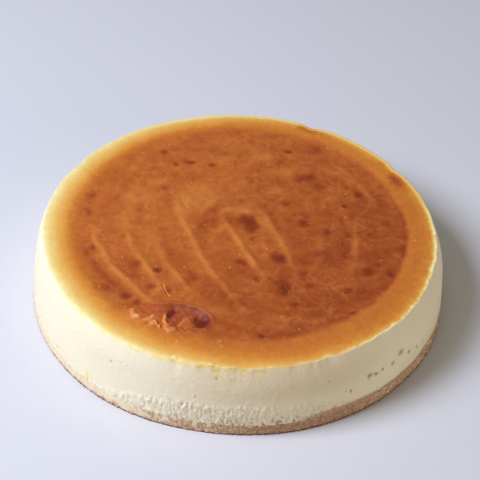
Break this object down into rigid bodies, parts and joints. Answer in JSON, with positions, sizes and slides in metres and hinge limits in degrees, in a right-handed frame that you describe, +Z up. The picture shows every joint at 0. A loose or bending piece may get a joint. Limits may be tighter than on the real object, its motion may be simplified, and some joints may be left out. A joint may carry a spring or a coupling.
{
  "type": "cheesecake",
  "caption": "Whole round baked lemon cheesecake: a browned, ridged top with a torn blister, smooth cream sides and a thin pressed biscuit base.",
  "frame": {"origin": "middle of the resting plane, under the centre of the cake", "axes": "+Z up through the layers, -Y towards the side that shows the torn blister at its left, +X to the right seen from there"},
  "size_m": [0.2477, 0.2486, 0.0468],
  "materials": {
    "baked_cheese": "food: set cream cheese, pale cream at the side, browned and softly glossy on top",
    "biscuit": "food: pressed biscuit crumb, matt and grainy"
  },
  "bodies": {
    "root": {"cheese_filling": "baked_cheese", "biscuit_base": "biscuit"}
  },
  "joints": []
}
